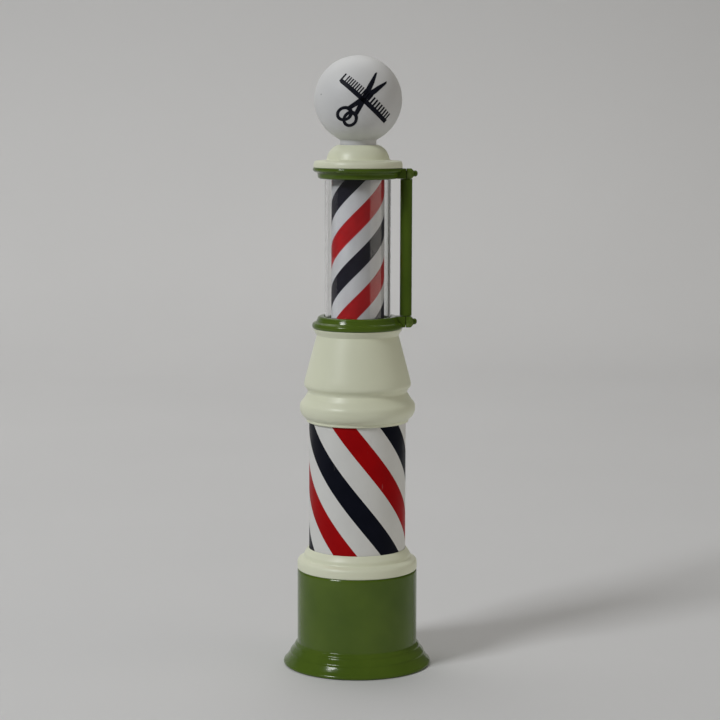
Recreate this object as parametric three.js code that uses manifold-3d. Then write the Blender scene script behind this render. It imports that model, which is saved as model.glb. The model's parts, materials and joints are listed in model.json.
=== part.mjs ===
// A tabletop barber pole light: a weighted enamelled base, a striped column, a bell that houses
// the gear motor, a clear lantern tube round a turning striped cylinder, and a lit globe on top.
// Millimetres, +Z up, origin at the centre of the underside, the column's axis on Z.
// +X points to the side post, +Y to the back panel that holds the switch and the power inlet.
import * as THREE from "three";
import { mergeVertices } from "three/addons/utils/BufferGeometryUtils.js";
import Module from "manifold-3d";

const wasm = await Module();
wasm.setup();

// ---- Driving dimensions -------------------------------------------------------------------

// Facets round a full turn, from the largest round pieces to the screws.
const LARGE = 32;
const MIDDLE = 24;
const SMALL = 12;
const TINY = 8;

// Heights of the joints between the stacked sections.
const RIM_Z = 0.3;
const DRUM_TOP = 73.4;
const TUBE_SEAT = 84;
const COLLAR_TOP = 89.3;
const BELL_BASE = 186.4;
const BELL_TOP = 256.8;
const LOWER_RING_TOP = 266.1;
const UPPER_RING_BASE = 368.8;
const UPPER_RING_TOP = 377;
const CAP_TOP = 394;
const TOTAL_HEIGHT = 460;

// Base.
const FOOT_RADIUS = 56.1;
const DRUM_RADIUS = 45.4;
const DRUM_WALL = 3.2;
const DRUM_DECK = 3;
const PLATE_Z = 2;
const PLATE_THICKNESS = 2;
const PLATE_RADIUS = 52.9;
const PLATE_SCREW_CIRCLE = 40.5;
const BALLAST_RADIUS = 35.6;
const BALLAST_TOP = 22;
const BOARD_Z = 28;
const PANEL_Y = 43.9;
const INLET_Z = 29;
const SWITCH_Z = 51;

// Column.
const COLUMN_RADIUS = 36.5;
const COLUMN_WALL = 2.2;
const ROD_RADIUS = 4.75;
const ROD_BORE = 3.4;

// Drive: a twelve-tooth pinion turns a thirty-six-tooth gear under the striped cylinder.
const GEAR_MODULE = 0.8;
const GEAR_TEETH = 36;
const PINION_TEETH = 12;
const PRESSURE_ANGLE = THREE.MathUtils.degToRad(25);
const TOOTH_BACKLASH = 0.16;
const MOTOR_Y = (GEAR_MODULE * (GEAR_TEETH + PINION_TEETH)) / 2;
const MOTOR_SCREW_X = [-6.8, 6.8];
const GEAR_Z = 245.2;
const GEAR_WIDTH = 5;
const DECK_Z = 240.4;
const DECK_TOP = 242.8;
const DECK_LEG_CIRCLE = 25.2;
const SHELF_Z = 254.4;
const STEM_RADIUS = 4;
const STEM_BORE = 2.8;
const BUSH_RADIUS = 6;
const RUNNING_GAP = 0.1;

// Lantern.
const CYLINDER_RADIUS = 19.8;
const CYLINDER_WALL = 1;
const GLASS_RADIUS = 24.7;
const GLASS_WALL = 1.8;
const GLASS_POCKET = 25.4;
const RING_LIP = 22.6;
const LOWER_LIP_TOP = 259.9;
const UPPER_LIP_BASE = 375;
const GASKET_THICKNESS = 1;
const POST_X = 36;
const POST_RADIUS = 4.5;
const SPIGOT_RADIUS = 2.6;
const LUG_HALF_WIDTH = 5.6;
const LUG_END = 41.9;
const LUG_SPLIT = 0.3;
const CLAMP_HOLE_RADIUS = 1.1;
const LOWER_LUG = [257.9, 266.1];
const UPPER_LUG = [369, 376.6];

// Globe.
const GLOBE_RADIUS = 32.65;
const GLOBE_WALL = 1.65;
const GLOBE_Z = TOTAL_HEIGHT - GLOBE_RADIUS;
const NECK_RADIUS = 13.6;
const NECK_WALL = 1.8;

// ---- Materials ----------------------------------------------------------------------------

function finish(color, roughness, metalness = 0, opacity = 1) {
  return () =>
    new THREE.MeshStandardMaterial({
      color,
      roughness,
      metalness,
      opacity,
      transparent: opacity < 1,
    });
}

const greenEnamel = finish(0x4c6b22, 0.25);
const creamEnamel = finish(0xd3d3b6, 0.4);
const whiteVinyl = finish(0xe6e4e0, 0.4);
const opalGlobe = finish(0xe8e7e4, 0.55);
const clearAcrylic = finish(0xf4f6f6, 0.05, 0, 0.25);
const blackPlastic = finish(0x1b1b1c, 0.5);
const whitePlastic = finish(0xdfdfda, 0.45);
const nylon = finish(0xd9d2bd, 0.5);
const rubber = finish(0x202021, 0.9);
const steel = finish(0xb3b6b8, 0.35, 1);
const brass = finish(0xb8924a, 0.35, 1);
const castIron = finish(0x3c3d3f, 0.7, 1);
const circuitBoard = finish(0x1f5a35, 0.55);
const frostedLamp = finish(0xf6f1e2, 0.6);
const leadCover = finish(0x8f2f2a, 0.6);

// ---- Shapes -------------------------------------------------------------------------------

// A profile of [radius, height] pairs turned round Z. It starts and ends on the axis, or it is
// closed here by a return to its first point.
function turned(profile, segments = MIDDLE) {
  const onAxis = profile[0][0] === 0 && profile.at(-1)[0] === 0;
  const outline = onAxis ? profile : [...profile, profile[0]];
  const points = outline.map(([radius, height]) => new THREE.Vector2(radius, height));
  if (THREE.ShapeUtils.area(points) < 0) points.reverse();
  return new THREE.LatheGeometry(points, segments).rotateX(Math.PI / 2);
}

function rod(radius, low, high, segments = SMALL) {
  return turned([[0, low], [radius, low], [radius, high], [0, high]], segments);
}

function ring(inner, outer, low, high, segments = MIDDLE) {
  return turned([[inner, low], [outer, low], [outer, high], [inner, high]], segments);
}

// Turns a shape made along Z so that its top points along +Y or +X.
function alongY(geometry) {
  return geometry.rotateX(-Math.PI / 2);
}

function alongX(geometry) {
  return geometry.rotateY(Math.PI / 2);
}

function block([x0, x1], [y0, y1], [z0, z1]) {
  return new THREE.BoxGeometry(x1 - x0, y1 - y0, z1 - z0).translate(
    (x0 + x1) / 2,
    (y0 + y1) / 2,
    (z0 + z1) / 2,
  );
}

function circlePath(radius, segments = SMALL) {
  const path = new THREE.Path();
  for (let i = 0; i < segments; i++) {
    const angle = (i / segments) * 2 * Math.PI;
    const method = i === 0 ? "moveTo" : "lineTo";
    path[method](radius * Math.cos(angle), radius * Math.sin(angle));
  }
  return path;
}

// An outline of [x, y] pairs raised from low to high, with an optional round bore.
function prism(outline, low, high, boreRadius = 0, boreSegments = SMALL) {
  const shape = new THREE.Shape(outline.map(([x, y]) => new THREE.Vector2(x, y)));
  if (boreRadius > 0) shape.holes.push(circlePath(boreRadius, boreSegments));
  const options = { depth: high - low, bevelEnabled: false };
  return new THREE.ExtrudeGeometry(shape, options).translate(0, 0, low);
}

function hexNut(acrossFlats, boreRadius, low, high, boreSegments = SMALL) {
  const corner = acrossFlats / Math.sqrt(3);
  const outline = Array.from({ length: 6 }, (_, i) => {
    const angle = (i * Math.PI) / 3;
    return [corner * Math.cos(angle), corner * Math.sin(angle)];
  });
  return prism(outline, low, high, boreRadius, boreSegments);
}

// A round-headed screw whose head sits on the height `seat`; `up` is the way its tip points.
function screw({ headRadius, headHeight, shankRadius, length, seat, up = 1 }) {
  const profile = [
    [0, seat + up * length],
    [shankRadius, seat + up * length],
    [shankRadius, seat],
    [headRadius, seat],
    [headRadius * 0.8, seat - up * headHeight],
    [0, seat - up * headHeight],
  ];
  return turned(profile, TINY);
}

// The [x, y] outline of an involute spur gear with one tooth centred on +X.
function gearOutline(teeth) {
  const pitch = (GEAR_MODULE * teeth) / 2;
  const base = pitch * Math.cos(PRESSURE_ANGLE);
  const tip = pitch + GEAR_MODULE * 0.95;
  const root = pitch - GEAR_MODULE * 1.2;
  const involute = (angle) => Math.tan(angle) - angle;
  const halfAtPitch = Math.PI / (2 * teeth) - TOOTH_BACKLASH / (2 * pitch);
  const halfAngle = (radius) => {
    const onFlank = Math.max(radius, base);
    const rolled = involute(Math.acos(base / onFlank));
    return halfAtPitch + involute(PRESSURE_ANGLE) - rolled;
  };
  const flank = [root, pitch, tip];
  const outline = [];
  for (let tooth = 0; tooth < teeth; tooth++) {
    const centre = (tooth * 2 * Math.PI) / teeth;
    for (const side of [-1, 1]) {
      const radii = side < 0 ? flank : [...flank].reverse();
      for (const radius of radii) {
        const angle = centre + side * halfAngle(radius);
        outline.push([radius * Math.cos(angle), radius * Math.sin(angle)]);
      }
    }
  }
  return outline;
}

// An insulated lead along a smooth curve through its points.
function lead(points, radius, steps) {
  const path = new THREE.CatmullRomCurve3(
    points.map((point) => new THREE.Vector3(...point)),
    false,
    "centripetal",
  );
  const section = new THREE.Shape(circlePath(radius, 5).getPoints());
  return new THREE.ExtrudeGeometry(section, { steps, extrudePath: path, bevelEnabled: false });
}

// ---- Cutting and joining ------------------------------------------------------------------

function toSolid(geometry) {
  const bare = geometry.clone();
  bare.deleteAttribute("normal");
  bare.deleteAttribute("uv");
  const merged = mergeVertices(bare, 1e-4);
  const corners = merged.index.array;
  const faces = [];
  for (let i = 0; i < corners.length; i += 3) {
    const [a, b, c] = [corners[i], corners[i + 1], corners[i + 2]];
    if (a !== b && b !== c && c !== a) faces.push(a, b, c);
  }
  return new wasm.Manifold(
    new wasm.Mesh({
      numProp: 3,
      vertProperties: merged.attributes.position.array,
      triVerts: new Uint32Array(faces),
    }),
  );
}

function toGeometry(solid) {
  const mesh = solid.getMesh();
  const geometry = new THREE.BufferGeometry();
  geometry.setAttribute("position", new THREE.BufferAttribute(mesh.vertProperties, mesh.numProp));
  geometry.setIndex(new THREE.BufferAttribute(mesh.triVerts, 1));
  geometry.computeVertexNormals();
  return geometry;
}

function shaped(body, { add = [], cut = [], keep = [] }) {
  let solid = toSolid(body);
  for (const piece of add) solid = solid.add(toSolid(piece));
  for (const piece of keep) solid = solid.intersect(toSolid(piece));
  for (const piece of cut) solid = solid.subtract(toSolid(piece));
  return toGeometry(solid);
}

// ---- Assembly -----------------------------------------------------------------------------

const light = new THREE.Group();

function piece(name, geometry, material, position = [0, 0, 0], turn = 0) {
  const mesh = new THREE.Mesh(geometry, material());
  mesh.name = name;
  mesh.position.set(...position);
  mesh.rotation.z = turn;
  light.add(mesh);
  return mesh;
}

// The three equal places round the axis, starting at the front and clear of the back panel.
function threeRound(radius) {
  return [-90, 30, 150].map((degrees) => {
    const angle = THREE.MathUtils.degToRad(degrees);
    return [radius * Math.cos(angle), radius * Math.sin(angle), 0];
  });
}

// ---- Base ---------------------------------------------------------------------------------

function baseDrum() {
  const inner = DRUM_RADIUS - DRUM_WALL;
  const shell = turned(
    [
      [53.2, RIM_Z],
      [FOOT_RADIUS - 0.5, RIM_Z],
      [FOOT_RADIUS, 1.3],
      [55.6, 2.5],
      [53.5, 4.6],
      [52.8, 5.8],
      [50.9, 9.3],
      [48.9, 11.5],
      [48.1, 12.6],
      [46.8, 15],
      [DRUM_RADIUS, 16.9],
      [DRUM_RADIUS, DRUM_TOP - 1],
      [DRUM_RADIUS - 1, DRUM_TOP],
      [ROD_RADIUS + 0.3, DRUM_TOP],
      [ROD_RADIUS + 0.3, DRUM_TOP - DRUM_DECK],
      [inner, DRUM_TOP - DRUM_DECK],
      [inner, 18.4],
      [46.2, 9.8],
      [48.8, 6.4],
      [53.2, 4.2],
    ],
    LARGE,
  );
  const bosses = threeRound(PLATE_SCREW_CIRCLE).map((at) => rod(4.2, 4.1, 30, TINY).translate(...at));
  const pilots = threeRound(PLATE_SCREW_CIRCLE).map((at) => rod(1.6, 3, 20, TINY).translate(...at));
  const panel = block([-14, 14], [PANEL_Y, 60], [20.5, 66]);
  const inletHole = alongY(rod(4.6, 30, 60)).translate(0, 0, INLET_Z);
  const switchHole = block([-6.5, 6.5], [30, 60], [SWITCH_Z - 9.6, SWITCH_Z + 9.6]);
  return shaped(shell, { add: bosses, cut: [panel, inletHole, switchHole, ...pilots] });
}

function basePlate() {
  const disc = rod(PLATE_RADIUS, PLATE_Z, PLATE_Z + PLATE_THICKNESS, LARGE);
  const holes = threeRound(PLATE_SCREW_CIRCLE).map((at) => rod(1.8, 0, 10, TINY).translate(...at));
  return shaped(disc, { cut: [rod(3.2, 0, 10), ...holes] });
}

// The carrier stands on the ballast and holds the board up on four pegs.
function boardCarrier() {
  const tray = block([-21, 21], [-17, 17], [BALLAST_TOP, BALLAST_TOP + 1.6]);
  const pegs = [];
  for (const x of [-17, 17]) {
    for (const y of [-13, 13]) pegs.push(rod(2.2, BALLAST_TOP + 1, BOARD_Z, TINY).translate(x, y, 0));
  }
  return shaped(tray, { add: pegs, cut: [rod(3.2, 0, 40)] });
}

function controlBoard() {
  const board = block([-20, 20], [-16, 16], [BOARD_Z, BOARD_Z + 1.6]);
  const parts = [
    block([-5, 5], [6, 13], [BOARD_Z + 1, BOARD_Z + 7]),
    block([-14, -4], [-6, 4], [BOARD_Z + 1, BOARD_Z + 3.4]),
    block([4, 14], [-8, -2], [BOARD_Z + 1, BOARD_Z + 7]),
    rod(3.4, BOARD_Z + 1, BOARD_Z + 11).translate(14, 9, 0),
  ];
  return shaped(board, { add: parts });
}

// A panel socket for a barrel plug, with its centre pin, made along Z and laid along Y.
function powerInlet() {
  const socket = [
    [0, 32],
    [4.4, 32],
    [4.4, PANEL_Y],
    [6, PANEL_Y],
    [6, PANEL_Y + 1.2],
    [5.4, PANEL_Y + 1.7],
    [3.2, PANEL_Y + 1.7],
    [3.2, 36],
    [1, 36],
    [1, PANEL_Y + 0.4],
    [0, PANEL_Y + 0.4],
  ];
  return alongY(turned(socket, SMALL));
}

function switchBody() {
  const flange = block([-7.5, 7.5], [PANEL_Y, PANEL_Y + 1.6], [-10.5, 10.5]);
  const box = block([-6.3, 6.3], [24, PANEL_Y + 0.5], [-9.4, 9.4]);
  const tabs = [-5, 5].map((z) => block([-2.4, 2.4], [18, 24.5], [z - 0.4, z + 0.4]));
  const well = block([-5.2, 5.2], [38.5, 60], [-7.8, 7.8]);
  const pivots = alongX(rod(1, -5.9, 5.9)).translate(0, 41.5, 0);
  return shaped(flange, { add: [box, ...tabs], cut: [well, pivots] });
}

// The rocker, made at mid travel round its pivot and then tipped to its off position.
function switchRocker(tip) {
  const side = [
    [-5.6, -0.8],
    [0, -2.2],
    [5.6, -0.8],
    [7, 2],
    [6.9, 4.6],
    [3.4, 4.1],
    [0, 3.9],
    [-3.4, 4.1],
    [-6.9, 4.6],
    [-7, 2],
  ];
  const bar = prism(side, -5, 5).rotateY(-Math.PI / 2);
  const rocker = shaped(bar, { add: [alongX(rod(0.9, -5.7, 5.7))] });
  return rocker.rotateX(tip);
}

function addBase() {
  piece("base_drum", baseDrum(), greenEnamel);
  piece("base_plate", basePlate(), steel);
  piece("base_pad", ring(44.3, 52.5, 0, PLATE_Z, LARGE), rubber);
  const plateScrew = { headRadius: 2.9, headHeight: 1.1, shankRadius: 1.4, length: 14, seat: PLATE_Z };
  threeRound(PLATE_SCREW_CIRCLE).forEach((at, i) => {
    piece(`plate_screw_${i + 1}`, screw(plateScrew), steel, at);
  });
  piece("ballast_weight", ring(3.2, BALLAST_RADIUS, PLATE_Z + PLATE_THICKNESS, BALLAST_TOP), castIron);
  const ballastScrew = { headRadius: 5.2, headHeight: 1.1, shankRadius: 2.9, length: 23, seat: PLATE_Z };
  piece("ballast_screw", screw(ballastScrew), steel);
  piece("board_carrier", boardCarrier(), whitePlastic);
  piece("control_board", controlBoard(), circuitBoard);
  piece("dc_inlet", powerInlet(), blackPlastic, [0, 0, INLET_Z]);
  const inletNut = alongY(hexNut(11.5, 4.6, 38.9, 40.9));
  piece("inlet_nut", inletNut, steel, [0, 0, INLET_Z]);
  piece("switch_body", switchBody(), blackPlastic, [0, 0, SWITCH_Z]);
  const offTip = THREE.MathUtils.degToRad(10);
  piece("switch_rocker", switchRocker(offTip), blackPlastic, [0, 41.5, SWITCH_Z]);
}

// ---- Column -------------------------------------------------------------------------------

function collarRing() {
  const web = 80.8;
  return turned(
    [
      [40.5, DRUM_TOP],
      [DRUM_RADIUS - 0.6, DRUM_TOP],
      [DRUM_RADIUS, DRUM_TOP + 0.6],
      [DRUM_RADIUS, 79.8],
      [DRUM_RADIUS - 1.5, 82.1],
      [40.2, 82.8],
      [40.1, 86.6],
      [38.3, COLLAR_TOP],
      [COLUMN_RADIUS + 0.3, COLLAR_TOP],
      [COLUMN_RADIUS + 0.3, TUBE_SEAT],
      [ROD_RADIUS + 0.3, TUBE_SEAT],
      [ROD_RADIUS + 0.3, web],
      [40.5, web],
    ],
    LARGE,
  );
}

function bellHousing() {
  const spigot = COLUMN_RADIUS - COLUMN_WALL - 0.3;
  const outside = [
    [37.8, BELL_BASE],
    [40.4, 188.6],
    [42.9, 193.4],
    [43.5, 198.5],
    [42.4, 203.2],
    [38.5, 206.9],
    [37.4, 209],
    [40, 213],
    [40, 217.2],
    [31.9, 247.6],
    [30.8, 251.8],
    [33.2, 255.6],
    [33.3, BELL_TOP],
  ];
  const inside = [
    [23, BELL_TOP],
    [23, SHELF_Z],
    [28.5, SHELF_Z],
    [28.6, 248],
    [37.2, 217],
    [34.7, 209.8],
    [34.7, 206.6],
    [39.4, 202.4],
    [40.6, 197.5],
    [37.4, 188.6],
    [ROD_RADIUS + 0.3, 188.6],
    [ROD_RADIUS + 0.3, BELL_BASE],
    [spigot - 2.5, BELL_BASE],
    [spigot - 2.5, 182],
    [spigot, 182],
    [spigot, BELL_BASE],
  ];
  const pilots = threeRound(DECK_LEG_CIRCLE).map((at) => rod(1.35, 250, 260, TINY).translate(...at));
  return shaped(turned([...outside, ...inside], LARGE), { cut: pilots });
}

function addColumn() {
  piece("collar_ring", collarRing(), creamEnamel);
  const tubeTop = BELL_BASE - 0.3;
  const tube = ring(COLUMN_RADIUS - COLUMN_WALL, COLUMN_RADIUS, TUBE_SEAT, tubeTop, LARGE);
  piece("column_tube", tube, whiteVinyl);
  piece("tie_rod", ring(ROD_BORE, ROD_RADIUS, 63, 197, SMALL), steel);
  const drumDeck = DRUM_TOP - DRUM_DECK;
  piece("rod_nut_lower", hexNut(14, ROD_RADIUS + 0.1, drumDeck - 5, drumDeck), steel);
  piece("rod_nut_upper", hexNut(14, ROD_RADIUS + 0.1, 188.6, 193.6), steel);
  piece("bell_housing", bellHousing(), creamEnamel);
}

// ---- Drive --------------------------------------------------------------------------------

function driveDeck() {
  const disc = ring(STEM_RADIUS + 0.1, 28, DECK_Z, DECK_TOP);
  const places = threeRound(DECK_LEG_CIRCLE);
  const legs = places.map((at) => rod(2.8, DECK_Z + 0.5, SHELF_Z, TINY).translate(...at));
  const screwHoles = places.map((at) => rod(1.35, 230, 260, TINY).translate(...at));
  const shaftHole = rod(3, 230, 250).translate(0, MOTOR_Y, 0);
  const motorHoles = MOTOR_SCREW_X.map((x) => rod(1.2, 230, 250, TINY).translate(x, MOTOR_Y, 0));
  return shaped(disc, { add: legs, cut: [...screwHoles, shaftHole, ...motorHoles] });
}

// A small can motor under its round gearbox, with the bore that its output shaft turns in.
function gearMotor() {
  const body = turned([
    [0, 206],
    [7.4, 206],
    [8, 206.8],
    [8, 224],
    [10, 224],
    [10, DECK_Z],
    [1.6, DECK_Z],
    [1.6, 232],
    [0, 232],
  ], 20);
  const holes = MOTOR_SCREW_X.map((x) => rod(1.2, 235.5, 250, TINY).translate(x, 0, 0));
  const terminals = [-3, 3].map((x) => block([x - 0.4, x + 0.4], [-1.5, 1.5], [202.5, 206.5]));
  return shaped(body, { add: terminals, cut: holes });
}

function spinnerBase() {
  const bore = BUSH_RADIUS + RUNNING_GAP;
  const spigot = CYLINDER_RADIUS - CYLINDER_WALL - 0.1;
  return turned([
    [bore, 244.5],
    [7.4, 244.5],
    [7.4, 260.8],
    [CYLINDER_RADIUS - 0.1, 260.8],
    [CYLINDER_RADIUS - 0.1, 262.8],
    [spigot, 262.8],
    [spigot, 266],
    [spigot - 2.2, 266],
    [spigot - 2.2, 263.4],
    [bore, 263.4],
  ]);
}

function spinnerCap() {
  const bore = BUSH_RADIUS + RUNNING_GAP;
  const spigot = CYLINDER_RADIUS - CYLINDER_WALL - 0.1;
  return turned([
    [bore, 370.6],
    [spigot - 2.2, 370.6],
    [spigot - 2.2, 369.4],
    [spigot, 369.4],
    [spigot, 372.4],
    [CYLINDER_RADIUS - 0.1, 372.4],
    [CYLINDER_RADIUS - 0.1, 373.8],
    [bore, 373.8],
  ]);
}

function bushLower() {
  const bore = STEM_RADIUS + 0.05;
  return turned([
    [bore, DECK_TOP],
    [8, DECK_TOP],
    [8, 244.2],
    [BUSH_RADIUS, 244.2],
    [BUSH_RADIUS, 261.5],
    [bore, 261.5],
  ]);
}

function addDrive() {
  piece("drive_deck", driveDeck(), steel);
  const deckScrew = { headRadius: 2.5, headHeight: 1.8, shankRadius: 1.2, length: 16.2, seat: DECK_Z };
  threeRound(DECK_LEG_CIRCLE).forEach((at, i) => {
    piece(`deck_screw_${i + 1}`, screw(deckScrew), steel, at);
  });
  piece("gear_motor", gearMotor(), steel, [0, MOTOR_Y, 0]);
  const motorScrew = {
    headRadius: 1.9,
    headHeight: 1.4,
    shankRadius: 1,
    length: 6.8,
    seat: DECK_TOP,
    up: -1,
  };
  MOTOR_SCREW_X.forEach((x, i) => {
    piece(`motor_screw_${i + 1}`, screw(motorScrew), steel, [x, MOTOR_Y, 0]);
  });
  piece("motor_shaft", rod(1.5, 232.6, 252), steel, [0, MOTOR_Y, 0]);
  const gearTop = GEAR_Z + GEAR_WIDTH;
  const pinion = prism(gearOutline(PINION_TEETH), GEAR_Z, gearTop, 1.6);
  piece("pinion", pinion, nylon, [0, MOTOR_Y, 0], Math.PI / PINION_TEETH);
  piece("spinner_gear", prism(gearOutline(GEAR_TEETH), GEAR_Z, gearTop, 7.5, MIDDLE), nylon);
  piece("bush_lower", bushLower(), brass);
  piece("bush_upper", ring(STEM_RADIUS + 0.05, BUSH_RADIUS, 366, 376.6), brass);
  piece("spinner_base", spinnerBase(), whitePlastic);
  const cylinder = ring(CYLINDER_RADIUS - CYLINDER_WALL, CYLINDER_RADIUS, 262.8, 372.4, LARGE);
  piece("striped_cylinder", cylinder, whiteVinyl);
  piece("spinner_cap", spinnerCap(), whitePlastic);
  piece("center_stem", ring(STEM_BORE, STEM_RADIUS, 229, 388), brass);
  const stemNut = (low, high) => hexNut(12, STEM_RADIUS + 0.1, low, high, MIDDLE);
  piece("stem_nut_lower", stemNut(DECK_Z - 5, DECK_Z), brass);
  piece("stem_nut_upper", stemNut(379, 383.4), brass);
  piece("led_sleeve", ring(STEM_RADIUS + 0.1, 7.2, 284, 352), frostedLamp);
}

// ---- Lantern ------------------------------------------------------------------------------

// Each ring has a lug that takes half of the post's spigot and the clamp screw's thread.
function withLug(ringBody, [low, high], blindEnd) {
  const middle = (low + high) / 2;
  const lug = block([27.5, POST_X - LUG_SPLIT / 2], [-LUG_HALF_WIDTH, LUG_HALF_WIDTH], [low, high]);
  const pocket = spigotPocket(low, high, blindEnd);
  const thread = alongX(rod(CLAMP_HOLE_RADIUS, 29.5, 50)).translate(0, 0, middle);
  return shaped(ringBody, { add: [lug], cut: [pocket, thread] });
}

function spigotPocket(low, high, blindEnd) {
  const bottom = blindEnd === "low" ? low + 1.2 : low - 5;
  const top = blindEnd === "high" ? high - 1.2 : high + 5;
  return rod(SPIGOT_RADIUS + 0.15, bottom, top).translate(POST_X, 0, 0);
}

function lowerRing() {
  return turned(
    [
      [RING_LIP, BELL_TOP],
      [33.4, BELL_TOP],
      [34.3, 258],
      [34.2, 260.3],
      [33, 261.4],
      [30.8, 262.2],
      [30.6, 264.8],
      [29, LOWER_RING_TOP],
      [GLASS_POCKET, LOWER_RING_TOP],
      [GLASS_POCKET, LOWER_LIP_TOP],
      [RING_LIP, LOWER_LIP_TOP],
    ],
    LARGE,
  );
}

function upperRing() {
  return turned(
    [
      [GLASS_POCKET, UPPER_RING_BASE],
      [28.7, UPPER_RING_BASE],
      [30, 370],
      [30.3, 372.8],
      [32.6, 374],
      [33.8, 375.2],
      [33.5, UPPER_RING_TOP],
      [RING_LIP, UPPER_RING_TOP],
      [RING_LIP, UPPER_LIP_BASE],
      [GLASS_POCKET, UPPER_LIP_BASE],
    ],
    LARGE,
  );
}

// The loose half of a clamp: a block with its outer edges chamfered both ways.
function clampCap([low, high], blindEnd) {
  const near = POST_X + LUG_SPLIT / 2;
  const chamfer = 2.2;
  const shoulder = LUG_END - chamfer;
  const plan = [
    [near, -LUG_HALF_WIDTH],
    [shoulder, -LUG_HALF_WIDTH],
    [LUG_END, chamfer - LUG_HALF_WIDTH],
    [LUG_END, LUG_HALF_WIDTH - chamfer],
    [shoulder, LUG_HALF_WIDTH],
    [near, LUG_HALF_WIDTH],
  ];
  const front = [
    [near, low],
    [shoulder, low],
    [LUG_END, low + chamfer],
    [LUG_END, high - chamfer],
    [shoulder, high],
    [near, high],
  ];
  const elevation = prism(front, -10, 10).rotateX(Math.PI / 2);
  const pocket = spigotPocket(low, high, blindEnd);
  const hole = alongX(rod(CLAMP_HOLE_RADIUS, 29.5, 50)).translate(0, 0, (low + high) / 2);
  return shaped(prism(plan, low, high), { keep: [elevation], cut: [pocket, hole] });
}

// A screw with a domed head that runs through the clamp and the post's spigot.
function clampScrew() {
  const dome = [
    [0, 31],
    [1, 31],
    [1, LUG_END],
    [2.2, LUG_END],
    [2.35, LUG_END + 0.9],
    [2, LUG_END + 1.8],
    [1.1, LUG_END + 2.4],
    [0, LUG_END + 2.6],
  ];
  return alongX(turned(dome, SMALL));
}

function sidePost() {
  const low = LOWER_LUG[1] + 0.3;
  const high = UPPER_LUG[0] - 0.3;
  const post = turned([
    [0, LOWER_LUG[0] + 1.6],
    [SPIGOT_RADIUS, LOWER_LUG[0] + 1.6],
    [SPIGOT_RADIUS, low],
    [POST_RADIUS, low],
    [POST_RADIUS, high],
    [SPIGOT_RADIUS, high],
    [SPIGOT_RADIUS, UPPER_LUG[1] - 1.6],
    [0, UPPER_LUG[1] - 1.6],
  ], 20);
  const crossHoles = [LOWER_LUG, UPPER_LUG].map(([bottom, top]) =>
    alongX(rod(CLAMP_HOLE_RADIUS, -6, 6)).translate(0, 0, (bottom + top) / 2),
  );
  return shaped(post, { cut: crossHoles });
}

function addLantern() {
  const lowGlass = LOWER_LIP_TOP + GASKET_THICKNESS;
  const highGlass = UPPER_LIP_BASE - GASKET_THICKNESS;
  piece("lower_ring", withLug(lowerRing(), LOWER_LUG, "low"), greenEnamel);
  piece("upper_ring", withLug(upperRing(), UPPER_LUG, "high"), greenEnamel);
  piece("tube_gasket_lower", ring(RING_LIP + 0.2, 25.2, LOWER_LIP_TOP, lowGlass), rubber);
  piece("tube_gasket_upper", ring(RING_LIP + 0.2, 25.2, highGlass, UPPER_LIP_BASE), rubber);
  const tube = ring(GLASS_RADIUS - GLASS_WALL, GLASS_RADIUS, lowGlass, highGlass, LARGE);
  piece("clear_tube", tube, clearAcrylic);
  piece("side_post", sidePost(), greenEnamel, [POST_X, 0, 0]);
  piece("clamp_cap_lower", clampCap(LOWER_LUG, "low"), greenEnamel);
  piece("clamp_cap_upper", clampCap(UPPER_LUG, "high"), greenEnamel);
  const lowScrewZ = (LOWER_LUG[0] + LOWER_LUG[1]) / 2;
  const highScrewZ = (UPPER_LUG[0] + UPPER_LUG[1]) / 2;
  piece("clamp_screw_lower", clampScrew(), greenEnamel, [0, 0, lowScrewZ]);
  piece("clamp_screw_upper", clampScrew(), greenEnamel, [0, 0, highScrewZ]);
  piece("top_plate", ring(STEM_RADIUS + 0.1, 29.4, UPPER_RING_TOP, 379), steel);
}

// ---- Cap and globe ------------------------------------------------------------------------

function capShell() {
  const hole = NECK_RADIUS + 1;
  return turned(
    [
      [30, UPPER_RING_TOP],
      [33.2, UPPER_RING_TOP],
      [33.2, 379.4],
      [32.4, 381.8],
      [31, 382.4],
      [24.4, 382.7],
      [23.4, 384],
      [22.4, 387.4],
      [20.4, 390.6],
      [17.6, 392.8],
      [hole, CAP_TOP],
      [hole, 391.4],
      [18.4, 388.6],
      [20.5, 384.4],
      [20.9, 379.8],
      [30, 379.6],
    ],
    LARGE,
  );
}

// The points of a quarter-turn-and-more arc of the globe, from its crown down to a radius.
function globeArc(radius, endRadius, count) {
  const end = Math.PI - Math.asin(endRadius / radius);
  return Array.from({ length: count + 1 }, (_, i) => {
    const angle = (i / count) * end;
    const across = i === 0 ? 0 : radius * Math.sin(angle);
    return [across, GLOBE_Z + radius * Math.cos(angle)];
  });
}

function globeShell() {
  const outside = globeArc(GLOBE_RADIUS, NECK_RADIUS, 10);
  const inside = globeArc(GLOBE_RADIUS - GLOBE_WALL, NECK_RADIUS - NECK_WALL, 7);
  const neckEnd = [
    [NECK_RADIUS, 388.6],
    [NECK_RADIUS - NECK_WALL, 388.6],
  ];
  return turned([...outside, ...neckEnd, ...inside.reverse()], LARGE);
}

function lampHolder() {
  return turned([
    [STEM_RADIUS + 0.1, 384],
    [8.2, 384],
    [8.2, 398],
    [6.4, 398],
    [6.4, 391],
    [1.6, 391],
    [1.6, 388.4],
    [STEM_RADIUS + 0.1, 388.4],
  ]);
}

function globeLamp() {
  return turned([
    [0, 391.8],
    [6.2, 391.8],
    [6.2, 400],
    [9.2, 407],
    [9.8, 413.5],
    [7.6, 420.6],
    [0, 424.8],
  ], SMALL);
}

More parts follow.
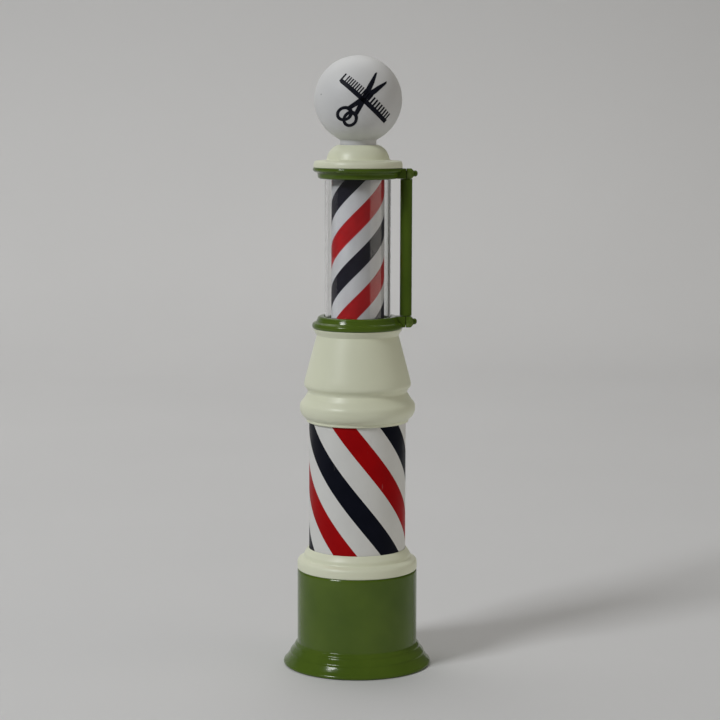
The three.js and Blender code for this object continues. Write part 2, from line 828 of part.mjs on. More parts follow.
function addTop() {
  piece("cap", capShell(), creamEnamel);
  piece("lamp_holder", lampHolder(), whitePlastic);
  piece("globe_lamp", globeLamp(), frostedLamp);
  piece("globe_gasket", ring(NECK_RADIUS + 0.05, NECK_RADIUS + 0.9, 391.5, 393.6, LARGE), rubber);
  piece("globe", globeShell(), opalGlobe);
}

// ---- Leads --------------------------------------------------------------------------------

function addLeads() {
  const inletRun = [[0, 31.6, INLET_Z], [0, 26, 30], [0, 19, 32.6], [0, 13.4, 33.4]];
  piece("inlet_lead", lead(inletRun, 1, 10), leadCover);
  const switchRun = [[0, 17.6, 46], [0, 12, 45.6], [-6, 7, 42], [-9, 0, 37], [-9, -1, 31.8]];
  piece("switch_lead", lead(switchRun, 1, 14), leadCover);
  const motorRun = [
    [9, -5, 35.4],
    [8, -4, 44],
    [3, 0, 55],
    [0, 1.5, 64],
    [0, 1.5, 90],
    [0, 1.5, 140],
    [0, 1.5, 190],
    [0, 1.5, 198],
    [0, 5, 201.2],
    [0, 12, 201.6],
    [0, 18, 203.4],
  ];
  piece("motor_lead", lead(motorRun, 1, 34), leadCover);
  const lampRun = [
    [6, -7.2, 35.4],
    [4, -8, 44],
    [0, -4, 55],
    [0, -1.5, 64],
    [0, -1.5, 90],
    [0, -1.5, 140],
    [0, -1.5, 190],
    [0, -1.5, 200],
    [0, -1, 220],
    [0, 0, 236],
    [0, 0, 300],
    [0, 0, 387],
    [0, 0, 391.4],
  ];
  piece("lamp_lead", lead(lampRun, 1, 42), leadCover);
}

addBase();
addColumn();
addDrive();
addLantern();
addTop();
addLeads();

export default light;
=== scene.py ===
import json
import math

import bmesh
import bpy
from mathutils import Matrix, Vector


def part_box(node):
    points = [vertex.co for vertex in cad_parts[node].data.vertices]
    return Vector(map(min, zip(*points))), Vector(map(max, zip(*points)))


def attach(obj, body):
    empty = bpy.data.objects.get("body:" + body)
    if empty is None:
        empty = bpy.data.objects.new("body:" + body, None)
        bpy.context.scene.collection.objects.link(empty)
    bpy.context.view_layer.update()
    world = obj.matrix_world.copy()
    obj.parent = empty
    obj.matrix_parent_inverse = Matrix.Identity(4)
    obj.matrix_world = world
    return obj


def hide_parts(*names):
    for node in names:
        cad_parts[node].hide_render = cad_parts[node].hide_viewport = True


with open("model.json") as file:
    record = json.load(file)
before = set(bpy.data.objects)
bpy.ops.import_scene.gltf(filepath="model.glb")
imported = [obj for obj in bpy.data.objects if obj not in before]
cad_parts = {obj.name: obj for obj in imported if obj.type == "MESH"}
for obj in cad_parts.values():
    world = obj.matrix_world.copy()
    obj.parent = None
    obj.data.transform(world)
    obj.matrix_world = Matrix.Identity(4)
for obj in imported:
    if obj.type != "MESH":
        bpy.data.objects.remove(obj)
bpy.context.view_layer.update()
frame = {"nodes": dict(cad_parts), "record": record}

# A tabletop barber pole light, in metres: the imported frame's visible nodes are replaced by finely
# turned and cast pieces, and every node inside keeps its shape and gets a real finish.
# Outlines are written in millimetres.
MM = 0.001
FINE_ROUND = 192        # faces round a large turned piece
ROUND = 160
SMALL_ROUND = 40
SOFT = 3.0              # how far a corner of a flowing curve is rounded
CRISP = 0.3             # and a corner of a plain outline
SHARP_DEGREES = 38      # a steeper edge than this is shaded as a hard one


# ---- Outlines and meshes -----------------------------------------------------------------------

def soft(*points):
    """Points of a flowing curve: each is rounded as far as the middle of its two sides."""
    return [(*point, SOFT) for point in points]


def eased(outline, closed=True):
    """An outline of (x, y) or (x, y, reach) points with each corner turned into a short curve."""
    points = [Vector(point[:2]) for point in outline]
    result = []
    for index, here in enumerate(points):
        if not closed and index in (0, len(points) - 1):
            result.append(here)
            continue
        reach = outline[index][2] if len(outline[index]) > 2 else CRISP
        back = points[index - 1] - here
        onward = points[(index + 1) % len(points)] - here
        start = here + back.normalized() * min(reach, back.length / 2)
        end = here + onward.normalized() * min(reach, onward.length / 2)
        turn = math.degrees((-back).angle(onward))
        steps = max(1, math.ceil(turn / 9))
        for step in range(steps + 1):
            t = step / steps
            result.append(start * (1 - t) ** 2 + here * 2 * t * (1 - t) + end * t ** 2)
    kept = [point for i, point in enumerate(result) if i == 0 or (point - result[i - 1]).length > 1e-3]
    if closed and (kept[0] - kept[-1]).length < 1e-3:
        kept.pop()
    return kept


def to_object(name, built):
    """Links a new object that holds the bmesh, which is used up, with all faces pointing out."""
    bmesh.ops.recalc_face_normals(built, faces=built.faces)
    mesh = bpy.data.meshes.new(name)
    built.to_mesh(mesh)
    built.free()
    obj = bpy.data.objects.new(name, mesh)
    bpy.context.scene.collection.objects.link(obj)
    return obj


def lathe(name, outline, closed=True, around=ROUND):
    """Turns an outline of (radius, height) points, in millimetres, round Z."""
    points = eased(outline, closed)
    built = bmesh.new()
    rings = []
    for radius, height in points:
        count = around if radius > 1e-4 else 1
        turns = [2 * math.pi * i / around for i in range(count)]
        rings.append([
            built.verts.new((radius * math.cos(a) * MM, radius * math.sin(a) * MM, height * MM))
            for a in turns
        ])
    pairs = list(zip(rings, rings[1:]))
    if closed:
        pairs.append((rings[-1], rings[0]))
    for one, two in pairs:
        for i in range(around):
            j = (i + 1) % around
            corners = [one[i % len(one)], one[j % len(one)], two[j % len(two)], two[i % len(two)]]
            distinct = list(dict.fromkeys(corners))
            if len(distinct) > 2:
                built.faces.new(distinct)
    return to_object(name, built)


def block(name, x, y, z, bevel=0.4, steps=3):
    """A box between two millimetre values on each axis, with all its edges rounded."""
    built = bmesh.new()
    bmesh.ops.create_cube(built, size=1)
    for vert in built.verts:
        unit = vert.co + Vector((0.5, 0.5, 0.5))
        vert.co = Vector([low + (high - low) * t for (low, high), t in zip((x, y, z), unit)]) * MM
    if bevel:
        bmesh.ops.bevel(built, geom=built.edges[:], offset=bevel * MM, segments=steps,
                        profile=0.5, affect="EDGES")
    return to_object(name, built)


def slab(name, outline, low, high, bevel=0.0):
    """An outline of (x, y) points raised along Z between two millimetre values."""
    built = bmesh.new()
    face = built.faces.new([built.verts.new((x * MM, y * MM, low * MM)) for x, y in outline])
    raised = bmesh.ops.extrude_face_region(built, geom=[face])["geom"]
    tops = [item for item in raised if isinstance(item, bmesh.types.BMVert)]
    bmesh.ops.translate(built, verts=tops, vec=(0, 0, (high - low) * MM))
    if bevel:
        bmesh.ops.bevel(built, geom=built.edges[:], offset=bevel * MM, segments=3,
                        profile=0.5, affect="EDGES")
    return to_object(name, built)


def moved(obj, matrix):
    obj.data.transform(matrix)
    return obj


def shifted(obj, x=0.0, y=0.0, z=0.0):
    return moved(obj, Matrix.Translation(Vector((x, y, z)) * MM))


def along(obj, axis):
    """Lays a piece made along Z so that its top points along +X or +Y."""
    if axis == "X":
        return moved(obj, Matrix.Rotation(math.pi / 2, 4, "Y"))
    return moved(obj, Matrix.Rotation(-math.pi / 2, 4, "X"))


def joined(obj, others, operation):
    """The object after a union with, or a cut by, each of the others, which are used up."""
    for other in others:
        modifier = obj.modifiers.new(operation, "BOOLEAN")
        modifier.operation = operation
        modifier.solver = "EXACT"
        modifier.object = other
    shown = obj.evaluated_get(bpy.context.evaluated_depsgraph_get())
    mesh = bpy.data.meshes.new_from_object(shown)
    obj.modifiers.clear()
    obj.data = mesh
    for other in others:
        bpy.data.objects.remove(other)
    return obj


def piece(obj, material, body, slot, *nodes):
    """Gives a finished shape its finish and its body, and hides the nodes that it stands for."""
    if isinstance(material, list):
        for item in material:
            obj.data.materials.append(item)
    else:
        obj.data.materials.clear()
        obj.data.materials.append(material)
    for polygon in obj.data.polygons:
        polygon.use_smooth = True
    obj.data.set_sharp_from_angle(angle=math.radians(SHARP_DEGREES))
    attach(obj, body)
    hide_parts(*nodes)
    return obj


def seated(obj, node):
    """Sets a piece on the lowest height of its node."""
    lowest = min(vert.co.z for vert in obj.data.vertices)
    return moved(obj, Matrix.Translation((0, 0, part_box(node)[0].z - lowest)))


def middle(node):
    low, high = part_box(node)
    return (low + high) / 2 / MM


def towards(azimuth, elevation):
    """A direction in degrees: round from the front towards +X, and up from level."""
    a, e = math.radians(azimuth), math.radians(elevation)
    return Vector((math.sin(a) * math.cos(e), -math.cos(a) * math.cos(e), math.sin(e)))


def globe_ball():
    """The centre and the radius, in metres, of the ball that the globe node ends in."""
    low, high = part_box("globe")
    radius = (high.x - low.x) / 2
    return Vector((0, 0, high.z - radius)), radius


# ---- Finishes ----------------------------------------------------------------------------------

class Finish:
    """A procedural material. Patterns lie in the piece's own metres: a scale is cycles a metre."""

    def __init__(self, name, **sockets):
        self.material = bpy.data.materials.new(name)
        self.material.use_nodes = True
        self.nodes = self.material.node_tree.nodes
        self.links = self.material.node_tree.links
        self.shader = self.nodes["Principled BSDF"]
        self.place = self.nodes.new("ShaderNodeTexCoord").outputs["Object"]
        self.normal = None
        for socket, value in sockets.items():
            self.shader.inputs[socket.replace("_", " ")].default_value = value

    def put(self, target, value):
        if isinstance(value, bpy.types.NodeSocket):
            self.links.new(value, target)
        elif isinstance(value, (tuple, list)) and len(value) == 3 and len(target.default_value) == 4:
            target.default_value = (*value, 1)
        else:
            target.default_value = value

    def stretched(self, scale):
        mapping = self.nodes.new("ShaderNodeMapping")
        self.put(mapping.inputs["Vector"], self.place)
        self.put(mapping.inputs["Scale"], scale)
        return mapping.outputs["Vector"]

    def noise(self, scale, detail=2.0, stretch=None):
        node = self.nodes.new("ShaderNodeTexNoise")
        self.put(node.inputs["Vector"], self.stretched(stretch) if stretch else self.place)
        self.put(node.inputs["Scale"], scale)
        self.put(node.inputs["Detail"], detail)
        return node.outputs["Fac"]

    def cells(self, scale):
        node = self.nodes.new("ShaderNodeTexVoronoi")
        self.put(node.inputs["Vector"], self.place)
        self.put(node.inputs["Scale"], scale)
        return node.outputs["Distance"]

    def span(self, value, low, high, to_low=0.0, to_high=1.0):
        node = self.nodes.new("ShaderNodeMapRange")
        for socket, number in zip(("Value", "From Min", "From Max", "To Min", "To Max"),
                                  (value, low, high, to_low, to_high)):
            self.put(node.inputs[socket], number)
        return node.outputs["Result"]

    def math(self, operation, one, two):
        node = self.nodes.new("ShaderNodeMath")
        node.operation = operation
        self.put(node.inputs[0], one)
        self.put(node.inputs[1], two)
        return node.outputs[0]

    def mix(self, amount, one, two):
        node = self.nodes.new("ShaderNodeMix")
        node.data_type = "RGBA"
        self.put(node.inputs["Factor"], amount)
        self.put(node.inputs[6], one)
        self.put(node.inputs[7], two)
        return node.outputs[2]

    def height(self):
        node = self.nodes.new("ShaderNodeSeparateXYZ")
        self.put(node.inputs[0], self.place)
        return node.outputs["Z"]

    def edges(self, low, high):
        """How far a point lies on an outward (or, with low above high, an inward) edge."""
        pointed = self.nodes.new("ShaderNodeNewGeometry").outputs["Pointiness"]
        return self.span(pointed, low, high)

    def bump(self, value, depth_mm):
        node = self.nodes.new("ShaderNodeBump")
        self.put(node.inputs["Height"], value)
        self.put(node.inputs["Distance"], depth_mm * MM)
        self.put(node.inputs["Strength"], 1.0)
        if self.normal:
            self.put(node.inputs["Normal"], self.normal)
        self.normal = node.outputs["Normal"]

    def done(self, color=None, roughness=None):
        if color is not None:
            self.put(self.shader.inputs["Base Color"], color)
        if roughness is not None:
            self.put(self.shader.inputs["Roughness"], roughness)
        if self.normal:
            self.put(self.shader.inputs["Normal"], self.normal)
        return self.material


def enamel(name, pale, deep, edge_wear_and_highlight, rough, gloss, peel, waviness):
    """Brushed and baked enamel: tone that drifts, a fine orange peel, painted shade in the hollows, and
    thin edges that are partly wear and partly a painted highlight.
    """
    f = Finish(name, IOR=1.5, Specular_IOR_Level=gloss)
    tone = f.mix(f.span(f.noise(26, 3), 0.35, 0.65), deep, pale)
    # Painted shade: inward edges and creases are darkened towards a deep tone.
    tone = f.mix(f.math("MULTIPLY", f.edges(0.49, 0.44), 0.55), tone, [c * 0.45 for c in deep])
    # Outward edges, broken up by noise, go towards the edge colour: partly paint worn thin, partly a
    # painted edge highlight.
    edge = f.math("MULTIPLY", f.edges(0.53, 0.6), f.span(f.noise(240, 4), 0.45, 0.62))
    tone = f.mix(f.math("MULTIPLY", edge, 0.6), tone, edge_wear_and_highlight)
    specks = f.math("MULTIPLY", f.span(f.cells(260), 0.07, 0.03), f.span(f.noise(35), 0.6, 0.7))
    tone = f.mix(f.math("MULTIPLY", specks, 0.6), tone, [c * 0.3 for c in deep])
    f.bump(f.noise(520, 2), 0.012 * peel)
    f.bump(f.noise(70, 2, (1, 1, 2.5)), 0.06 * waviness)
    f.bump(specks, 0.02)
    return f.done(tone, f.span(f.noise(90, 3), 0.3, 0.7, rough - 0.04, rough + 0.06))


def printed(name, pale, deep, rough):
    """Ink or vinyl on the striped sheet, with faint print mottle and a few scuffs."""
    f = Finish(name, IOR=1.47, Specular_IOR_Level=0.07)
    tone = f.mix(f.span(f.noise(60, 4), 0.3, 0.7), deep, pale)
    scuff = f.span(f.noise(210, 5, (1, 1, 0.25)), 0.66, 0.72)
    tone = f.mix(f.math("MULTIPLY", scuff, 0.12), tone, (0.45, 0.44, 0.43))
    f.bump(f.noise(900, 2), 0.004)
    f.bump(f.noise(45, 1), 0.03)
    return f.done(tone, f.span(f.noise(120, 3), 0.3, 0.7, rough - 0.05, rough + 0.07))


def opal(name):
    """Satin opal white with one small dark fleck in it, on the left of the front."""
    f = Finish(name, IOR=1.45)
    tone = f.mix(f.span(f.noise(18, 2), 0.3, 0.7), (0.645, 0.65, 0.66), (0.69, 0.692, 0.69))
    node = f.nodes.new("ShaderNodeVectorMath")
    node.operation = "DISTANCE"
    f.put(node.inputs[0], f.place)
    centre, radius = globe_ball()
    f.put(node.inputs[1], centre + towards(-57.5, 6.5) * radius)
    near = f.span(node.outputs["Value"], 0.75 * MM, 0.35 * MM)
    tone = f.mix(f.math("MULTIPLY", near, 0.75), tone, (0.05, 0.05, 0.05))
    f.bump(f.noise(600, 2), 0.006)
    f.bump(f.noise(50, 2), 0.04)
    return f.done(tone, f.span(f.noise(80, 3), 0.3, 0.7, 0.46, 0.56))


def moulded(name, color, rough, grain, contrast=0.12):
    """Moulded plastic or rubber: one colour that drifts a little over a fine grain."""
    f = Finish(name, IOR=1.48)
    tone = f.mix(f.span(f.noise(40, 3), 0.3, 0.7), [c * (1 - contrast) for c in color],
                 [min(1, c * (1 + contrast)) for c in color])
    # Outward edges are painted a little lighter.
    lighter_edge_tone = [min(1, c * 1.5 + 0.02) for c in color]
    tone = f.mix(f.math("MULTIPLY", f.edges(0.53, 0.6), 0.2), tone, lighter_edge_tone)
    f.bump(f.noise(1400, 3), grain)
    return f.done(tone, f.span(f.noise(200, 3), 0.3, 0.7, rough - 0.05, rough + 0.06))


def metal(name, bright, dull, rough, lines=(1, 1, 12)):
    """Plated, turned or rolled metal with fine working lines and duller patches."""
    f = Finish(name, Metallic=1.0)
    tone = f.mix(f.span(f.noise(85, 4), 0.35, 0.65), dull, bright)
    f.bump(f.noise(300, 3, lines), 0.01)
    return f.done(tone, f.span(f.noise(160, 4, lines), 0.3, 0.7, rough - 0.06, rough + 0.1))


def cast(name):
    f = Finish(name, Metallic=0.35)
    tone = f.mix(f.span(f.noise(150, 5), 0.35, 0.65), (0.03, 0.032, 0.035), (0.075, 0.075, 0.078))
    f.bump(f.noise(600, 5), 0.12)
    return f.done(tone, 0.72)


def clear(name):
    """A polished clear tube that lets the lamps' light through, with faint handling haze."""
    f = Finish(name, IOR=1.49, Transmission_Weight=1.0)
    f.put(f.shader.inputs["Base Color"], (0.985, 0.987, 0.987))
    f.put(f.shader.inputs["Roughness"], f.span(f.noise(60, 5), 0.5, 0.75, 0.0, 0.035))
    path = f.nodes.new("ShaderNodeLightPath")
    through = f.nodes.new("ShaderNodeBsdfTransparent")
    facing = f.nodes.new("ShaderNodeLayerWeight")
    facing.inputs["Blend"].default_value = 0.5
    grazing = f.span(facing.outputs["Facing"], 0.45, 0.75)
    f.put(through.inputs["Color"], f.mix(grazing, (0.93, 0.935, 0.935), (0.12, 0.12, 0.12)))
    blend = f.nodes.new("ShaderNodeMixShader")
    f.links.new(path.outputs["Is Shadow Ray"], blend.inputs[0])
    f.links.new(f.shader.outputs[0], blend.inputs[1])
    f.links.new(through.outputs[0], blend.inputs[2])
    f.links.new(blend.outputs[0], f.nodes["Material Output"].inputs["Surface"])
    return f.material


def board(name):
    f = Finish(name, IOR=1.5)
    lines = f.span(f.cells(420), 0.06, 0.03)
    tone = f.mix(f.span(f.noise(90, 2), 0.45, 0.55), (0.015, 0.09, 0.035), (0.025, 0.13, 0.05))
    tone = f.mix(lines, tone, (0.5, 0.5, 0.48))
    f.bump(lines, 0.05)
    return f.done(tone, 0.4)


GREEN = enamel("green_enamel_coat", pale=(0.086, 0.140, 0.014), deep=(0.066, 0.114, 0.010),
               edge_wear_and_highlight=(0.20, 0.26, 0.08), rough=0.12, gloss=0.30, peel=0.6, waviness=0.25)
CREAM = enamel("cream_enamel_coat", pale=(0.775, 0.795, 0.615), deep=(0.758, 0.778, 0.598),
               edge_wear_and_highlight=(0.72, 0.73, 0.58), rough=0.36, gloss=0.45, peel=0.7, waviness=0.35)
SHEET_WHITE = printed("sheet_white", (0.72, 0.72, 0.70), (0.68, 0.68, 0.66), 0.42)
SHEET_RED = printed("sheet_red", (0.38, 0.003, 0.004), (0.32, 0.0025, 0.004), 0.38)
SHEET_NAVY = printed("sheet_navy", (0.006, 0.007, 0.014), (0.004, 0.005, 0.010), 0.38)
FILM_WHITE = printed("film_white", (0.435, 0.435, 0.447), (0.41, 0.41, 0.42), 0.5)
FILM_RED = printed("film_red", (0.30, 0.006, 0.008), (0.26, 0.005, 0.007), 0.45)
FILM_NAVY = printed("film_navy", (0.007, 0.006, 0.013), (0.005, 0.005, 0.010), 0.45)
INK = printed("emblem_ink", (0.012, 0.013, 0.020), (0.008, 0.009, 0.015), 0.45)
OPAL = opal("opal_satin")
CLEAR = clear("clear_polished")
BLACK = moulded("black_moulding", (0.014, 0.014, 0.015), 0.5, 0.015)
WHITE = moulded("white_moulding", (0.70, 0.70, 0.67), 0.45, 0.008, 0.03)
NYLON = moulded("natural_nylon", (0.66, 0.60, 0.46), 0.42, 0.01, 0.05)
RUBBER = moulded("black_rubber", (0.02, 0.02, 0.021), 0.82, 0.04)
MARK = moulded("switch_mark", (0.75, 0.75, 0.73), 0.5, 0.004, 0.03)
ZINC = metal("zinc_plate", (0.62, 0.63, 0.64), (0.50, 0.51, 0.53), 0.3)
CAN = metal("drawn_steel", (0.50, 0.51, 0.52), (0.40, 0.41, 0.42), 0.34, (1, 1, 0.1))
BRASS = metal("turned_brass", (0.62, 0.43, 0.16), (0.50, 0.34, 0.12), 0.3)
IRON = cast("cast_iron_paint")
BOARD = board("solder_mask")
FROST = moulded("frosted_diffuser", (0.84, 0.81, 0.72), 0.6, 0.01, 0.02)
LEAD = moulded("lead_insulation", (0.3, 0.03, 0.02), 0.55, 0.006, 0.08)


# ---- Base --------------------------------------------------------------------------------------

PLATE_SCREW_CIRCLE = 40.5
PANEL_Y = 43.9          # the flat milled face at the back
ROD_BORE = 5.05         # radius of the bores for the tie rod


def plate_screw_places():
    return [(PLATE_SCREW_CIRCLE * math.cos(a), PLATE_SCREW_CIRCLE * math.sin(a))
            for a in map(math.radians, (-90, 30, 150))]


def cross_head(name, head, thick, shank, length, seat):
    """A pan-head screw that points up, with a cross recess in the head below."""
    outline = [(0, seat - thick), (head * 0.55, seat - thick, head * 0.4),
               (head, seat - thick * 0.35, thick * 0.3), (head, seat), (shank, seat),
               (shank, seat + length - 1), (shank * 0.4, seat + length), (0, seat + length)]
    screw = lathe(name, outline, False, SMALL_ROUND)
    arm, deep = head * 0.55, thick * 0.6
    low = (seat - thick - 1, seat - thick + deep)
    slots = [block("slot", (-arm, arm), (-head * 0.12, head * 0.12), low, 0),
             block("slot", (-head * 0.12, head * 0.12), (-arm, arm), low, 0)]
    return joined(screw, [joined(slots[0], [slots[1]], "UNION")], "DIFFERENCE")


def make_base():
    rim = [(55.5, 0.3, 0.3), (56.1, 1.0, 0.6), (55.8, 2.3, 0.7), (53.9, 4.3, 0.5)]
    flare = [(51.25, 8.2, 0.5), (50.95, 9.6, 0.6), (47.75, 13.3, 0.5), (47.35, 14.9, 0.4),
             (46.3, 16.1, 0.4), (45.4, 16.9, 0.5)]
    wall = [(45.4, 72.2, 0.5), (44.8, 73.2, 0.3), (44.5, 73.4, 0.2), (ROD_BORE, 73.4), (ROD_BORE, 70.4),
            (42.2, 70.4, 1)]
    inside = [(42.2, 18.4), *soft((43.5, 14.6), (46.2, 9.8), (48.8, 6.4)), (53.2, 4.2), (53.2, 0.3)]
    drum = lathe("drum", [*rim, *flare, *wall, *inside], around=FINE_ROUND)
    for x, y in plate_screw_places():
        boss = lathe("boss", [(1.6, 4.1), (4.2, 4.1), (4.2, 30), (1.6, 30)], around=SMALL_ROUND)
        joined(drum, [shifted(boss, x, y)], "UNION")
    panel = block("panel", (-14, 14), (PANEL_Y, 60), (20.5, 66), 1.2, 4)
    hole = lathe("hole", [(0, 30), (4.6, 30), (4.6, 60), (0, 60)], False, SMALL_ROUND)
    shifted(along(hole, "Y"), 0, 0, middle("dc_inlet").z)
    switch_z = middle("switch_body").z
    opening = block("opening", (-6.5, 6.5), (30, 60), (switch_z - 9.6, switch_z + 9.6), 0)
    joined(drum, [panel, hole, opening], "DIFFERENCE")
    piece(seated(drum, "base_drum"), GREEN, "root", "green_enamel", "base_drum")

    plate = lathe("cover_plate", [(3.2, 2.0), (30, 2.0, 1), (34, 2.5, 1), (50, 2.5, 1), (52.9, 2.2),
                                  (52.9, 4), (3.2, 4)])
    screw_holes = [shifted(lathe("hole", [(0, 0), (1.8, 0), (1.8, 9), (0, 9)], False, 24), x, y)
                   for x, y in plate_screw_places()]
    joined(plate, screw_holes, "DIFFERENCE")
    piece(seated(plate, "base_plate"), ZINC, "root", "plated_steel", "base_plate")
    pad = lathe("foot_pad", [(44.3, 0.2, 0.4), (45.2, 0, 0.5), (48, 0, 0.3), (48.4, 0.5, 0.3),
                             (48.8, 0, 0.3), (51.8, 0, 0.5), (52.5, 0.5, 0.4), (52.5, 2), (44.3, 2)])
    piece(seated(pad, "base_pad"), RUBBER, "root", "rubber_pad", "base_pad")
    for number, (x, y) in enumerate(plate_screw_places(), 1):
        node = f"plate_screw_{number}"
        head = cross_head(node + "_fine", 2.9, 1.1, 1.4, 14, 2)
        piece(seated(shifted(head, x, y), node), ZINC, "root", "plated_steel", node)
    piece(seated(cross_head("weight_screw", 5.2, 1.1, 2.9, 23, 2), "ballast_screw"), ZINC,
          "root", "plated_steel", "ballast_screw")


def make_panel():
    socket = lathe("power_socket", [
        (0, 32), (4.4, 32), (4.4, PANEL_Y), (6, PANEL_Y), (6, PANEL_Y + 1, 0.4),
        (5.3, PANEL_Y + 1.7, 0.4), (3.5, PANEL_Y + 1.7, 0.3), (3.2, PANEL_Y + 1.3, 0.3), (3.2, 36),
        (1, 36), (1, PANEL_Y), (0.7, PANEL_Y + 0.4), (0, PANEL_Y + 0.4)], False, 64)
    shifted(along(socket, "Y"), 0, 0, middle("dc_inlet").z)
    piece(socket, BLACK, "root", "black_plastic", "dc_inlet")

    switch_z = middle("switch_body").z
    body = block("switch_frame", (-7.5, 7.5), (PANEL_Y, PANEL_Y + 1.6), (-10.5, 10.5), 0.5, 4)
    joined(body, [block("box", (-6.3, 6.3), (24, PANEL_Y + 0.5), (-9.4, 9.4), 0.2),
                  block("tab", (-2.4, 2.4), (18, 24.5), (-5.4, -4.6), 0.1),
                  block("tab", (-2.4, 2.4), (18, 24.5), (4.6, 5.4), 0.1)], "UNION")
    joined(body, [block("well", (-5.2, 5.2), (38.5, 60), (-7.8, 7.8), 0)], "DIFFERENCE")
    shifted(body, 0, 0, switch_z)
    piece(body, BLACK, "root", "black_plastic", "switch_body")

    # The rocker's side outline, tipped to off round its pivot.
    side = [(-5.6, -0.8), (0, -2.2), (5.6, -0.8), (7, 2), (6.9, 4.6), (5.6, 4.36), (3.4, 4.02),
            (1.2, 3.86), (-1.2, 3.86), (-3.4, 4.02), (-5.6, 4.36), (-6.9, 4.6), (-7, 2)]
    rocker = slab("rocker_paddle", side, -5, 5, 0.25)
    moved(rocker, Matrix.Rotation(-math.pi / 2, 4, "Y"))
    mark = block("mark", (-0.35, 0.35), (4.05, 4.5), (-5.6, -3.4), 0.1)
    tip = Matrix.Rotation(math.radians(10), 4, "X")
    place = Matrix.Translation(Vector((0, 41.5, switch_z)) * MM)
    for obj in (rocker, mark):
        moved(obj, place @ tip)
    piece(rocker, BLACK, "rocker", "black_plastic", "switch_rocker")
    piece(mark, MARK, "rocker", "white_plastic")


# ---- Column ------------------------------------------------------------------------------------

STRIPE_STEP = 2.6       # degrees, about one face of a stripe
WHITE_BAND, RED_BAND, NAVY_BAND = 0, 1, 2


def striped(name, inner, outer, node, twist, level, bands, repeats, rows):
    """A printed tube as tall as its node, whose stripes are bands of its own faces. A band is (start,
    end, finish) in degrees from the front towards +X at the height `level`; `twist` is degrees a
    millimetre."""
    low, high = (corner.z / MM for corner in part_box(node))
    columns = []
    for repeat in range(repeats):
        for start, end, finish in bands:
            parts = max(2, round((end - start) / STRIPE_STEP))
            for part in range(parts):
                angle = start + (end - start) * part / parts + 360 * repeat / repeats
                columns.append((math.radians(angle), finish))
    ease = 0.25
    section = [(outer - ease, low), (outer, low + ease)]
    section += [(outer, low + ease + (high - low - 2 * ease) * i / rows) for i in range(1, rows)]
    section += [(outer, high - ease), (outer - ease, high), (inner, high)]
    section += [(inner, low + (high - low) * i / rows) for i in range(rows - 1, 0, -1)]
    section += [(inner, low)]
    built = bmesh.new()
    rings = []
    for radius, z in section:
        lean = math.radians(twist * (z - level))
        rings.append([
            built.verts.new((radius * math.sin(a + lean) * MM, -radius * math.cos(a + lean) * MM,
                             z * MM))
            for a, _ in columns
        ])
    for index, one in enumerate(rings):
        two = rings[(index + 1) % len(rings)]
        outside = index <= rows + 1
        for i, (_, finish) in enumerate(columns):
            j = (i + 1) % len(columns)
            face = built.faces.new((one[i], one[j], two[j], two[i]))
            face.material_index = finish if outside else WHITE_BAND
    return to_object(name, built)


def make_column():
    collar = lathe("seat_collar", [
        (40.5, 73.4), (44.8, 73.4, 0.4), (45.4, 74.0, 0.5), (45.4, 79.3, 0.9), (44.6, 80.8, 0.7),
        (42.4, 81.8, 0.8), (40.7, 82.4, 0.6), (40.3, 83.3, 0.5), (40.2, 85.1, 0.8), (39.5, 86.4, 0.7),
        (37.7, 89.1, 0.8), (36.8, 89.7, 0.1), (36.8, 84), (ROD_BORE, 84),
        (ROD_BORE, 80.8), (40.5, 80.8)], around=FINE_ROUND)
    piece(seated(collar, "collar_ring"), CREAM, "root", "cream_enamel", "collar_ring")

    bands = [(-30.7, -0.9, NAVY_BAND), (-0.9, 30.9, WHITE_BAND), (30.9, 60.6, RED_BAND),
             (60.6, 89.3, WHITE_BAND)]
    tube = striped("striped_column", 34.3, 36.5, "column_tube", twist=-1.2636, level=137, bands=bands,
                   repeats=3, rows=64)
    piece(tube, [SHEET_WHITE, SHEET_RED, SHEET_NAVY], "root", "striped_sheet", "column_tube")

    bell = lathe("motor_bell", [
        (37.2, 186.4), (38.3, 186.4, 0.4), (38.7, 187.6, 0.5), (38.5, 188.5, 0.4), (39.4, 189.1, 0.4),
        *soft((41.6, 190.8), (43.2, 193.8), (43.7, 197.2)), (43.2, 200.2, 1.3), (39.7, 204.7, 0.9),
        (38.3, 207.4, 1.2), *soft((37.3, 208.9), (38.3, 211.4), (40, 213), (40.35, 214.8), (40, 217.2)),
        (31.9, 247.6, 4), (30.7, 251.8, 0.45), (33.1, 255.6, 0.9), (33.35, 256.2, 0.4),
        (33.35, 256.8), (23, 256.8), (23, 254.4), (28.5, 254.4), (28.6, 248), (37.2, 217),
        (34.7, 209.8, 1), (34.7, 206.6, 1), (39.4, 202.4, 1), (40.6, 197.5, 2), (37.4, 188.6),
        (ROD_BORE, 188.6), (ROD_BORE, 186.4), (31.5, 186.4), (31.5, 182), (34, 182), (34, 186.4)],
        around=FINE_ROUND)
    piece(seated(bell, "bell_housing"), CREAM, "root", "cream_enamel", "bell_housing")


# ---- Lantern -----------------------------------------------------------------------------------

POST_X = 36.0
POST_RADIUS = 4.5
SPIGOT_RADIUS = 2.6     # the post's ends
SPIGOT_HOLE = 2.75
BLIND_END = 1.2         # metal left beyond a spigot's hole
CLAMP_GAP = 0.15        # half of the gap between a ring's ear and its clamp cap
LUG_HALF = 5.6
LUG_END = 41.9


def lug_heights(which):
    low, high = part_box(f"clamp_cap_{which}")
    return low.z / MM, high.z / MM


def ring_with_lug(name, outline, which):
    """A cast ring whose ear takes half of the post's spigot."""
    low, high = lug_heights(which)
    ring = lathe(name, outline, around=FINE_ROUND)
    ear = block("ear", (27.5, POST_X - CLAMP_GAP), (-LUG_HALF, LUG_HALF), (low, high), 0.7, 4)
    joined(ring, [ear], "UNION")
    return joined(ring, [spigot_pocket(which)], "DIFFERENCE")


